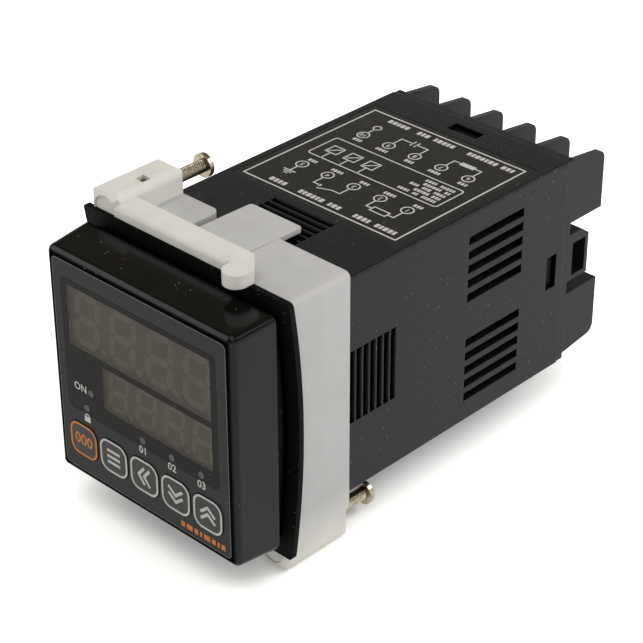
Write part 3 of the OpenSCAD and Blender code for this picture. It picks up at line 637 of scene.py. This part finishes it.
class COUNTER_OT_finish_inside(Finishing, bpy.types.Operator):
    """Gives the boards and what they carry their finishes"""
    bl_idname = "counter.finish_inside"
    bl_label = "Finish inside"

    finishes = {
        solder_resist: ["display_board", "main_board", "power_board"],
        inner_nylon: ["key_switches", "board_connectors", "control_chips", "relay"],
        winding_tape: ["transformer"], capacitor_sleeve: ["capacitors"],
    }


def blocks(layer, u, v, pattern, height):
    """A line of letter-sized blocks that reads as small print: a block for a mark, a gap for a space."""
    least, step, gap = 0.5, 0.12, 0.22
    for i, mark in enumerate(pattern):
        width = height * (least + step * (i % 3))
        if mark != " ":
            layer.bar(u, v - height / 2, u + width, v + height / 2)
        u += width + height * gap


def chevrons(layer, turn, width):
    """Two nested chevrons that point along the given turn, in degrees."""
    half_u, half_v, apart = 0.75, 1.8, 0.7
    spin = Matrix.Rotation(math.radians(turn), 2)
    for shift in (-apart, apart):
        points = ((shift - half_u, -half_v), (shift + half_u, 0.0), (shift - half_u, half_v))
        layer.line([spin @ Vector(p) for p in points], width)


class COUNTER_OT_key_print(bpy.types.Operator):
    """Prints a ring and a sign on each key"""
    bl_idname = "counter.key_print"
    bl_label = "Key print"

    cap_height = 7.0
    number_size, number_weight = 3.2, 0.05
    bar_rows, bar_half = (-1.25, 0.0, 1.25), 1.7
    turns = {"shift": 180, "down": 270, "up": 90}

    def execute(self, context):
        sizes = context.scene.counter_print
        pale = printed_ink("screen_printed_key_ink", sizes.key_ink, "#B2B2B0")
        orange = printed_ink("screen_printed_orange_ink", sizes.orange_ink, "#B66A18")
        for key in KEYS:
            left, _, right, _ = front_box("key_" + key)
            half_w = (right - left) / 2 - sizes.ring_inset
            half_h = self.cap_height / 2 - sizes.ring_inset
            layer = Print(FRONT, face_centre("key_" + key, "front"))
            layer.frame(-half_w, -half_h, half_w, half_h, sizes.ring_width, sizes.ring_radius)
            if key == "reset":
                layer.text("000", 0.0, 0.0, self.number_size, self.number_weight)
            elif key == "mode":
                half_v = sizes.symbol_width / 2
                for v in self.bar_rows:
                    layer.bar(-self.bar_half, v - half_v, self.bar_half, v + half_v)
            else:
                chevrons(layer, self.turns[key], sizes.symbol_width)
            layer.piece(f"key_print_{key}", orange if key == "reset" else pale, f"{key}_key", "key_film")
        return {"FINISHED"}


class COUNTER_OT_front_print(bpy.types.Operator):
    """Prints the mask round the windows, the legends beside the indicators and a row of orange bars"""
    bl_idname = "counter.front_print"
    bl_label = "Front print"

    # Edges of a window inside its display module: left, lower, right and upper
    window_inset = (0.5, 0.8, 0.45, 0.15)
    window_radius, lens_radius = 0.1, 1.2
    led_radius = 0.7
    edge_width = 0.14
    edge_radius = 1.0
    legend, legend_weight = 2.15, 0.02
    legend_drop = 2.1
    power_place = (-1.4, 0.1)
    # Widths of the bars, the row's start from the right, its lower and upper edge, and the gaps
    bars = (0.9, 1.5, 0.9, 0.5, 1.5, 0.9, 0.5, 0.9)
    bars_start, bars_low, bars_high, bars_gap = 12.6, 1.0, 2.1, 0.5

    def execute(self, context):
        sizes = context.scene.counter_print
        face = Vector((0.0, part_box("front_overlay")[0].y, 0.0))
        left, low, right, high = front_box("indicator_leds")
        radius = self.led_radius
        row, power, first, last = low + radius, high - radius, left + radius, right - radius
        outputs = (0.0, last / 2, last)
        lamps = [(first + 2 * radius, power), (first, row)] + [(u, row) for u in outputs]
        self.mask(face)
        dots = Print(FRONT, face, 1)
        for u, v in lamps:
            dots.disc(u, v, radius)
        dots.piece("lamp_windows", printed_ink("smoked_lamp_ink", "#424240", "#4C4C4A"), ROOT, "smoked_lens")
        layer = Print(FRONT, face, 1)
        for number, u in zip(("01", "02", "03"), outputs):
            layer.text(number, u, row - self.legend_drop, self.legend, self.legend_weight)
        aside, raised = self.power_place
        layer.text("ON", first + aside, power + raised, self.legend, self.legend_weight)
        self.padlock(layer, first, row - self.legend_drop)
        pale = printed_ink("screen_printed_legend_ink", sizes.pale_ink, "#BDBDBA")
        layer.piece("front_legends", pale, ROOT, "overlay_film")
        self.bar_row(face, printed_ink("screen_printed_bar_ink", sizes.orange_ink, "#B66A18"))
        # Painted highlight: a pale line along the plate's edge, where the edge catches the light
        edge = Print(FRONT, face)
        edge.frame(*front_box("front_overlay"), self.edge_width, self.edge_radius)
        edge.piece("plate_edge", printed_ink("painted_edge_highlight", "#484847", "#70706E"), ROOT, "overlay_film")
        return {"FINISHED"}

    def mask(self, face):
        """Black print over the lens that leaves the two windows free."""
        left, low, right, high = front_box("display_lens")
        insets = self.window_inset
        holes = []
        for node in ("upper_display", "lower_display"):
            u0, v0, u1, v1 = front_box(node)
            holes.append(rounded(u0 + insets[0], v0 + insets[1], u1 - insets[2], v1 - insets[3],
                                 self.window_radius, 2))
        layer = Print(FRONT, face)
        layer.sheet(rounded(left, low, right, high, self.lens_radius), holes)
        layer.piece("lens_mask", mask_ink(), ROOT, "smoked_lens")

    def padlock(self, layer, u, v):
        """A small padlock sign."""
        half, foot, top, bow, end, stroke = 0.8, 0.85, 0.25, 0.52, 0.15, 0.24
        layer.bar(u - half, v - foot, u + half, v + top)
        shackle = arc(u, v + top, bow, 0, 180, 12)
        layer.line([(u + bow, v + end)] + shackle + [(u - bow, v + end)], stroke)

    def bar_row(self, face, ink):
        """A row of short bars at the lower right corner of the front."""
        _, low, right, _ = front_box("front_overlay")
        layer = Print(FRONT, face)
        u = right - self.bars_start
        for width in self.bars:
            layer.bar(u, low + self.bars_low, u + width, low + self.bars_high)
            u += width + self.bars_gap
        layer.piece("front_bars", ink, ROOT, "overlay_film")


def segment(layer, u, v, length, thick, upright, slant):
    """One bar of a seven-segment digit, with pointed ends, leaning by the slant."""
    half, point = length / 2, thick / 2
    bar = [(-half, 0), (-half + point, point), (half - point, point),
           (half, 0), (half - point, -point), (-half + point, -point)]
    if upright:
        bar = [(-y, x) for x, y in bar]
    layer.area([(u + x + slant * (v + y), v + y) for x, y in bar])


class COUNTER_OT_digits(bpy.types.Operator):
    """Draws the unlit seven-segment digits on both display modules"""
    bl_idname = "counter.digits"
    bl_label = "Display digits"

    slant, count = 0.1, 4
    # Shares of the module's height, of a cell's width, and of the digit's height, width and height
    tall_share, wide_share, stroke_share, level_share, upright_share = 0.74, 0.58, 0.15, 0.9, 0.46
    # Distance and radius of the point, in strokes
    point_step, point_radius = 1.2, 0.5

    def execute(self, context):
        epoxy = segment_epoxy()
        for node in ("upper_display", "lower_display"):
            left, low, right, high = front_box(node)
            layer = Print(FRONT, face_centre(node, "front"))
            cell = (right - left) / self.count
            tall = (high - low) * self.tall_share
            wide = cell * self.wide_share
            thick = tall * self.stroke_share
            for i in range(self.count):
                u = (i - (self.count - 1) / 2) * cell
                for v in (-tall / 2, 0.0, tall / 2):
                    segment(layer, u, v, wide * self.level_share, thick, False, self.slant)
                for x in (-wide / 2, wide / 2):
                    for v in (-tall / 4, tall / 4):
                        segment(layer, u + x, v, tall * self.upright_share, thick, True, self.slant)
                point = u + wide / 2 + thick * self.point_step - self.slant * tall / 2
                layer.disc(point, -tall / 2, thick * self.point_radius)
            layer.piece(node + "_digits", epoxy, ROOT, "display_epoxy")
        return {"FINISHED"}


class COUNTER_OT_label_print(bpy.types.Operator):
    """Prints a plain plan of numbered terminals on the label"""
    bl_idname = "counter.label_print"
    bl_label = "Label print"

    margin, border = 1.35, 0.36
    pitch = 6.6
    row_v = 8.4
    post_radius = 1.2
    number_size, number_weight = 1.55, 0.02
    # Start and end of a post's lead, and place of its tag, from the post's middle
    lead = (1.35, 3.2)
    tag_u, tag_v = 1.6, 2.3
    tag_height, heading_height, line_height = 0.9, 1.25, 0.85
    heading_u, heading_v = 1.6, 1.9

    def execute(self, context):
        sizes = context.scene.counter_print
        layer = Print(TOP, face_centre("rating_label", "top"))
        low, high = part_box("rating_label")
        half_u = (high.x - low.x) / MM / 2 - self.margin
        half_v = (high.y - low.y) / MM / 2 - self.margin
        width = sizes.label_line
        layer.frame(-half_u, -half_v, half_u, half_v, self.border)
        for row, first in ((1, 1), (-1, 6)):
            v = row * self.row_v
            start, end = [v + row * reach for reach in self.lead]
            for i in range(5):
                u = (i - 2) * self.pitch
                layer.ring(u, v, self.post_radius, width)
                layer.text(str(first + i), u, v, self.number_size, self.number_weight)
                layer.line([(u, start), (u, end)], width)
                blocks(layer, u - self.tag_u, v - row * self.tag_v, "xxxx"[:3 + i % 2], self.tag_height)
            self.links(layer, row, end, width)
        self.middle(layer, width)
        for row, pattern in ((1, "xxxxx xxxx   xxx xxxxxx   xxxx"), (-1, "xxx xxxxxxx   xxxxx xxx  xxxxx")):
            v = row * (half_v - self.heading_v)
            blocks(layer, -half_u + self.heading_u, v, pattern, self.heading_height)
        pale = printed_ink("screen_printed_label_ink", sizes.pale_ink, "#BFBFBB")
        layer.piece("label_print", pale, ROOT, "label_film")
        return {"FINISHED"}

    def middle(self, layer, width):
        """A field in the middle with short lines at one end and three switch boxes at the other."""
        half_u, half_v, corner = 16.2, 4.2, 0.8
        layer.frame(-half_u, -half_v, half_u, half_v, width, corner)
        left, top, spacing = -14.8, 2.7, 1.35
        lines = ("xxxxx xx xxxx", "xxx xxxxx", "xxxx xxx xxx", "xx xxxxxx", "xxxxx xxxx")
        for i, line in enumerate(lines):
            blocks(layer, left, top - spacing * i, line, self.line_height)
        first, apart, half, blade, reach = 3.4, 4.6, 1.5, 1.0, 4.1
        for i in range(3):
            u = first + i * apart
            layer.frame(u - half, -half, u + half, half, width)
            layer.line([(u - blade, -blade), (u + blade, blade)], width)
            layer.line([(u, half), (u, reach)], width)

    def links(self, layer, row, v, width):
        """Joins the posts of one row in pairs: by a box and an open contact, or by a bar and two plates."""
        a, b, c, d, e = ((i - 2) * self.pitch for i in range(5))
        level, gap, contact = v + row * 0.6, 1.3 if row > 0 else 1.6, d - 1.6
        layer.line([(a, v), (a, level), (a + gap, level)], width)
        layer.line([(b - gap, level), (b, level), (b, v)], width)
        if row > 0:
            layer.frame(a + gap, v - 0.3, b - gap, v + 1.5, width)
            layer.line([(c, v), (c, level), (c + 2.0, level), (d - 1.8, v + 1.8)], width)
            layer.disc(contact, level, 0.4)
            layer.line([(contact, level), (d, level), (d, v)], width)
            for i, half in enumerate((1.5, 1.0, 0.5)):
                layer.bar(e - half, v + i * 0.6, e + half, v + i * 0.6 + width)
        else:
            layer.bar(a + gap, v - 1.2, b - gap, v)
            for side, post in ((-1, c), (1, d)):
                plate = (c + d) / 2 + side * 0.5
                layer.line([(post, v), (post, level), (plate, level)], width)
                layer.line([(plate, v - 1.6), (plate, v + 0.4)], width)
            layer.ring(e, v - 0.8, 0.8, width)


def screw_tree():
    """Geometry nodes of a cross-recess pan head screw with a cut thread, head up along Z."""
    tree = bpy.data.node_groups.new("pan_head_screw", "GeometryNodeTree")
    names = ("Crest Radius", "Thread Depth", "Pitch", "Length", "Head Radius", "Head Height")
    kinds = dict.fromkeys(names, "NodeSocketFloat") | {"Material": "NodeSocketMaterial"}
    sockets = {name: tree.interface.new_socket(name, in_out="INPUT", socket_type=kind).identifier
               for name, kind in kinds.items()}
    tree.interface.new_socket("Geometry", in_out="OUTPUT", socket_type="NodeSocketGeometry")
    given = add(tree, "NodeGroupInput")
    sizes = {name: given[name] for name in names}
    for name, operation, first, second in (
        ("root", "SUBTRACT", "Crest Radius", "Thread Depth"),
        ("core", "ADD", "root", 0.02 * MM),
        ("thread end", "SUBTRACT", "Thread Depth", "Length"),
        ("thread length", "MULTIPLY", "thread end", -1.0),
        ("turns", "DIVIDE", "thread length", "Pitch"),
        ("core middle", "MULTIPLY", "Length", -0.5),
        ("head middle", "MULTIPLY", "Head Height", 0.5),
        ("dome radius", "MULTIPLY", "Head Radius", 1.6),
        ("dome middle", "SUBTRACT", "Head Height", "dome radius"),
        ("recess middle", "MULTIPLY", "Head Height", 0.9),
        ("recess length", "MULTIPLY", "Head Radius", 1.12),
        ("recess width", "MULTIPLY", "Head Radius", 0.28),
    ):
        operands = {0: sizes.get(first, first), 1: sizes.get(second, second)}
        sizes[name] = add(tree, "ShaderNodeMath", operands, operation=operation)[0]
    helix = add(tree, "GeometryNodeCurveSpiral", {
        "Resolution": 28, "Rotations": sizes["turns"], "Start Radius": sizes["root"],
        "End Radius": sizes["root"], "Height": sizes["thread length"]})[0]
    upright = add(tree, "GeometryNodeSetCurveNormal", {"Curve": helix}, mode="Z_UP")[0]
    ridge = add(tree, "GeometryNodeCurvePrimitiveCircle", {
        "Resolution": 4, "Radius": sizes["Thread Depth"]})[0]
    sides = [sizes["recess length"], sizes["recess width"]]
    blades = [add(tree, "ShaderNodeCombineXYZ", {"X": x, "Y": y, "Z": sizes["Head Height"]})[0]
              for x, y in (sides, sides[::-1])]
    shapes = {
        "thread": ("thread end", "GeometryNodeCurveToMesh", {
            "Curve": upright, "Profile Curve": ridge, "Fill Caps": True}),
        "core": ("core middle", "GeometryNodeMeshCylinder", {
            "Vertices": 40, "Radius": sizes["core"], "Depth": sizes["Length"]}),
        "drum": ("head middle", "GeometryNodeMeshCylinder", {
            "Vertices": 64, "Radius": sizes["Head Radius"], "Depth": sizes["Head Height"]}),
        "dome": ("dome middle", "GeometryNodeMeshUVSphere", {
            "Segments": 64, "Rings": 48, "Radius": sizes["dome radius"]}),
        "blade": ("recess middle", "GeometryNodeMeshCube", {"Size": blades[0]}),
        "crossing": ("recess middle", "GeometryNodeMeshCube", {"Size": blades[1]}),
    }
    for name, (height, kind, inputs) in shapes.items():
        shape = add(tree, kind, inputs)[0]
        place = add(tree, "ShaderNodeCombineXYZ", {"Z": sizes[height]})[0]
        shapes[name] = add(tree, "GeometryNodeTransform", {"Geometry": shape, "Translation": place})[0]
    # Exact, for the same faces on each run and one floor where the blades cross
    head = add(tree, "GeometryNodeMeshBoolean", {
        "Mesh 2": [shapes["drum"], shapes["dome"]]}, operation="INTERSECT", solver="EXACT")[0]
    recess = [shapes["blade"], shapes["crossing"]]
    cut = add(tree, "GeometryNodeMeshBoolean", {
        "Mesh 1": head, "Mesh 2": recess}, operation="DIFFERENCE", solver="EXACT")[0]
    joined = add(tree, "GeometryNodeJoinGeometry", {0: [cut, shapes["core"], shapes["thread"]]})[0]
    whole = add(tree, "GeometryNodeRealizeInstances", {0: joined})[0]
    dressed = add(tree, "GeometryNodeSetMaterial", {"Geometry": whole, "Material": given["Material"]})[0]
    add(tree, "NodeGroupOutput", {0: dressed})
    return tree, sockets


def evaluated_mesh(tree, values):
    """Plain mesh that a node tree makes with the given input values."""
    holder = bpy.data.objects.new("holder", bpy.data.meshes.new("holder"))
    modifier = holder.modifiers.new("nodes", "NODES")
    modifier.node_group = tree
    for socket, value in values.items():
        modifier[socket] = value
    return plain_mesh(holder)


class COUNTER_OT_clamp_screws(bpy.types.Operator):
    """Makes the two clamp screws with their threads, and the nuts that show in the bosses"""
    bl_idname = "counter.clamp_screws"
    bl_label = "Clamp screws"

    shank_radius = 1.3 * MM
    sharp_angle = math.radians(32)
    # Middle, from the screw's axis, and half size of the nut in the upper boss
    nut_middle = Vector((1.3, 9.75, 2.2)) * MM
    nut_half = Vector((0.97, 0.97, 0.8)) * MM
    nut_chamfer = 0.18 * MM

    def execute(self, context):
        sizes = context.scene.counter_screw
        tree, sockets = screw_tree()
        metal, olive = nickel_steel(), plated_nut_steel()
        upright = Matrix.Rotation(math.radians(-90), 4, "X")
        for side in ("upper", "lower"):
            node = "clamp_screw_" + side
            low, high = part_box(node)
            values = {
                "Crest Radius": self.shank_radius, "Thread Depth": sizes.depth, "Pitch": sizes.pitch,
                "Length": high.y - low.y - sizes.head_height, "Head Radius": (high.x - low.x) / 2,
                "Head Height": sizes.head_height, "Material": metal,
            }
            axis = (low + high) / 2
            place = Matrix.Translation((axis.x, high.y - sizes.head_height, axis.z))
            data = evaluated_mesh(tree, {sockets[name]: value for name, value in values.items()})
            data.transform(place @ upright)
            data.set_sharp_from_angle(angle=self.sharp_angle)
            piece = data_piece(f"{node}_threaded", data, metal, f"{side}_screw")
            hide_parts(node)
            self.nut(side, axis, olive)
        return {"FINISHED"}

    def nut(self, side, axis, material):
        """A chamfered square nut in the boss, under its window."""
        turn = 1.0 if side == "upper" else -1.0
        inset = self.nut_middle
        middle = Vector((axis.x + turn * inset.x, inset.y, axis.z + turn * inset.z))
        mesh = bmesh.new()
        bmesh.ops.create_cube(mesh, size=2.0)
        bmesh.ops.scale(mesh, vec=self.nut_half, verts=mesh.verts)
        bmesh.ops.bevel(
            mesh, geom=mesh.edges, offset=self.nut_chamfer, segments=2, affect="EDGES", profile=0.5)
        bmesh.ops.translate(mesh, vec=middle, verts=mesh.verts)
        mesh_piece("clamp_nut_" + side, mesh, material, "clamp")


# Studio

class COUNTER_OT_stage(bpy.types.Operator):
    """Sets up the floor, the light and the camera"""
    bl_idname = "counter.stage"
    bl_label = "Studio"

    aim = Vector((0.0, 40.0, 0.0)) * MM
    shift = Vector((3.070, 4.016)) * MM
    floor_half, floor_gap = 3.0, 0.1 * MM
    # Place, width and height, and upward direction of each lamp
    lamps = {
        "left_strip": ((-0.474, -0.36, 0.426), (0.22, 0.66), (0.0, 0.76, 0.65)),
        "right_softbox": ((0.6, -0.15, 0.45), (0.6, 0.6), (0.0, 0.0, 1.0)),
        "top_softbox": ((0.1, -0.1, 0.9), (0.9, 0.9), (0.0, 1.0, 0.0)),
        "back_softbox": ((0.42, 0.49, 0.47), (0.34, 0.34), (0.0, 0.0, 1.0)),
    }
    # Rise of a direction at which the pale horizon ends and the room is reached
    horizon = (0.2, 0.42)

    def execute(self, context):
        scene = context.scene
        self.floor(scene.counter_stage)
        self.lights(scene)
        self.camera(scene)
        scene.view_settings.view_transform = "Standard"
        return {"FINISHED"}

    def floor(self, look):
        """A wide sheet of white paper under the lowest point."""
        low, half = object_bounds()[0][2] - self.floor_gap, self.floor_half
        corners = ((-half, -half, low), (half, -half, low), (half, half, low), (-half, half, low))
        data = bpy.data.meshes.new("studio_floor")
        data.from_pydata(corners, [], [(0, 1, 2, 3)])
        data.materials.append(paper_floor(look.paper_glow, look.mirror_glow))
        sheet = bpy.data.objects.new("studio_floor", data)
        bpy.context.scene.collection.objects.link(sheet)
        sheet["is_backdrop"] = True

    def lights(self, scene):
        """A strip and three softboxes in a dim room that is pale at the horizon.

        The strip leans back over the front, so the rounded front edge shows one even pale band.
        The small softbox behind draws a line of light along the upper right edges."""
        look = scene.counter_stage
        powers = (look.left_power, look.right_power, look.top_power, look.back_power)
        for name, power in zip(self.lamps, powers):
            self.softbox(name, power)
        world = bpy.data.worlds.new("studio_room")
        scene.world = world
        world.use_nodes = True
        tree = world.node_tree
        direction = add(tree, "ShaderNodeTexCoord")["Generated"]
        rise = add(tree, "ShaderNodeSeparateXYZ", {"Vector": direction})["Z"]
        share = add(tree, "ShaderNodeMapRange", {
            "Value": rise, FROM: self.horizon}, interpolation_type="SMOOTHSTEP")["Result"]
        colour = add(tree, "ShaderNodeMix", {
            0: share, 6: linear("#FFFFFF"), 7: linear(look.room)}, data_type="RGBA")[2]
        tree.links.new(colour, tree.nodes["Background"].inputs["Color"])

    def softbox(self, name, power):
        """A rectangular area lamp that faces the counter, its height along the upward direction."""
        place, sides, upward = self.lamps[name]
        lamp = bpy.data.lights.new(name, "AREA")
        lamp.shape = "RECTANGLE"
        lamp.size, lamp.size_y = sides
        lamp.energy = power
        holder = bpy.data.objects.new(name, lamp)
        back = Vector(place).normalized()
        across = Vector(upward).cross(back).normalized()
        turn = Matrix((across, back.cross(across), back)).transposed().to_4x4()
        holder.matrix_world = Matrix.Translation(place) @ turn
        bpy.context.scene.collection.objects.link(holder)

    def camera(self, scene):
        """A long lens at the photograph's angle."""
        view = scene.counter_stage
        tilt = math.pi / 2 - view.elevation
        turn = Matrix.Rotation(view.azimuth, 4, "Z") @ Matrix.Rotation(tilt, 4, "X")
        turn = turn @ Matrix.Rotation(view.roll, 4, "Z")
        data = bpy.data.cameras.new("photo_camera")
        data.lens = view.lens
        data.clip_start = 0.01
        camera = bpy.data.objects.new("photo_camera", data)
        place = self.aim + turn @ Vector((-self.shift.x, -self.shift.y, view.distance))
        camera.matrix_world = Matrix.Translation(place) @ turn
        scene.collection.objects.link(camera)
        scene.camera = camera


# Add-on

PROPERTY_GROUPS = {
    "counter_print": COUNTER_PG_print,
    "counter_screw": COUNTER_PG_screw,
    "counter_stage": COUNTER_PG_stage,
}
OPERATORS = (
    COUNTER_OT_finish_front, COUNTER_OT_finish_case, COUNTER_OT_finish_inside, COUNTER_OT_key_print,
    COUNTER_OT_front_print, COUNTER_OT_digits, COUNTER_OT_label_print, COUNTER_OT_clamp_screws,
    COUNTER_OT_stage,
)


class COUNTER_PT_looks(bpy.types.Panel):
    """Lists the counter's pieces and their sizes"""
    bl_idname = "COUNTER_PT_looks"
    bl_label = "Panel counter"
    bl_space_type = "VIEW_3D"
    bl_region_type = "UI"
    bl_category = "Counter"

    def draw(self, context):
        for name, group in PROPERTY_GROUPS.items():
            box = self.layout.box()
            for field in group.__annotations__:
                box.prop(getattr(context.scene, name), field)
        for operator in OPERATORS:
            self.layout.operator(operator.bl_idname)


def register():
    """Registers the classes and their settings."""
    for name, group in PROPERTY_GROUPS.items():
        bpy.utils.register_class(group)
        setattr(bpy.types.Scene, name, PointerProperty(type=group))
    for operator in OPERATORS:
        bpy.utils.register_class(operator)
    bpy.utils.register_class(COUNTER_PT_looks)


def unregister():
    """Removes the classes and their settings."""
    bpy.utils.unregister_class(COUNTER_PT_looks)
    for operator in reversed(OPERATORS):
        bpy.utils.unregister_class(operator)
    for name, group in PROPERTY_GROUPS.items():
        delattr(bpy.types.Scene, name)
        bpy.utils.unregister_class(group)


def main():
    """Makes every piece in order."""
    register()
    for operator in OPERATORS:
        getattr(bpy.ops.counter, operator.bl_idname.partition(".")[2])()


if __name__ == "__main__":
    main()
